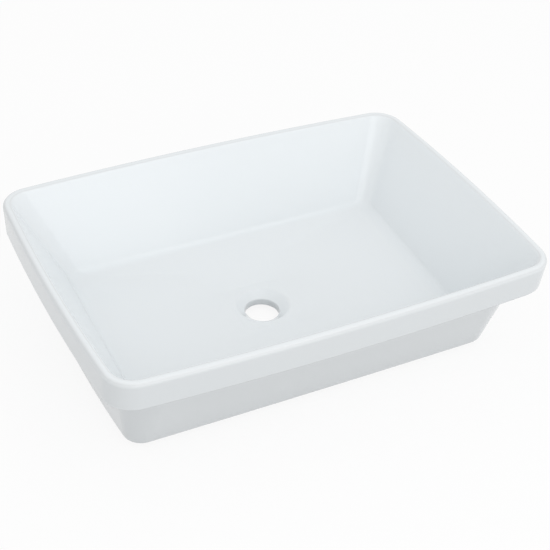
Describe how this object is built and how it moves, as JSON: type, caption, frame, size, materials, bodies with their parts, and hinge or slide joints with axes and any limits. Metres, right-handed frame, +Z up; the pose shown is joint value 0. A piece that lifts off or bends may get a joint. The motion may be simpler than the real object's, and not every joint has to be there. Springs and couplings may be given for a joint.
{
  "type": "semi recessed basin",
  "caption": "Rectangular glazed ceramic basin with an upright skirt under a thin rim, a tapered lower body, sloping bowl walls and a dished waste hole.",
  "frame": {"origin": "on the surface that the foot stands on, under the middle of the rim", "axes": "+X along the basin to the right end, +Y from the front to the back, +Z up out of the bowl"},
  "size_m": [0.5996, 0.4286, 0.16],
  "materials": {
    "glaze_bowl": "gloss white glaze",
    "glaze_skirt": "gloss white glaze",
    "glaze_lower": "gloss white glaze, thin and sprayed on the inside",
    "seat_glaze": "thin white glaze, wiped flat",
    "bare_foot": "bare fired china, ground flat"
  },
  "bodies": {
    "root": {"bowl": "glaze_bowl", "skirt": "glaze_skirt", "lower_wall": "glaze_lower", "waste_seat_ring": "seat_glaze", "foot": "bare_foot"}
  },
  "joints": []
}
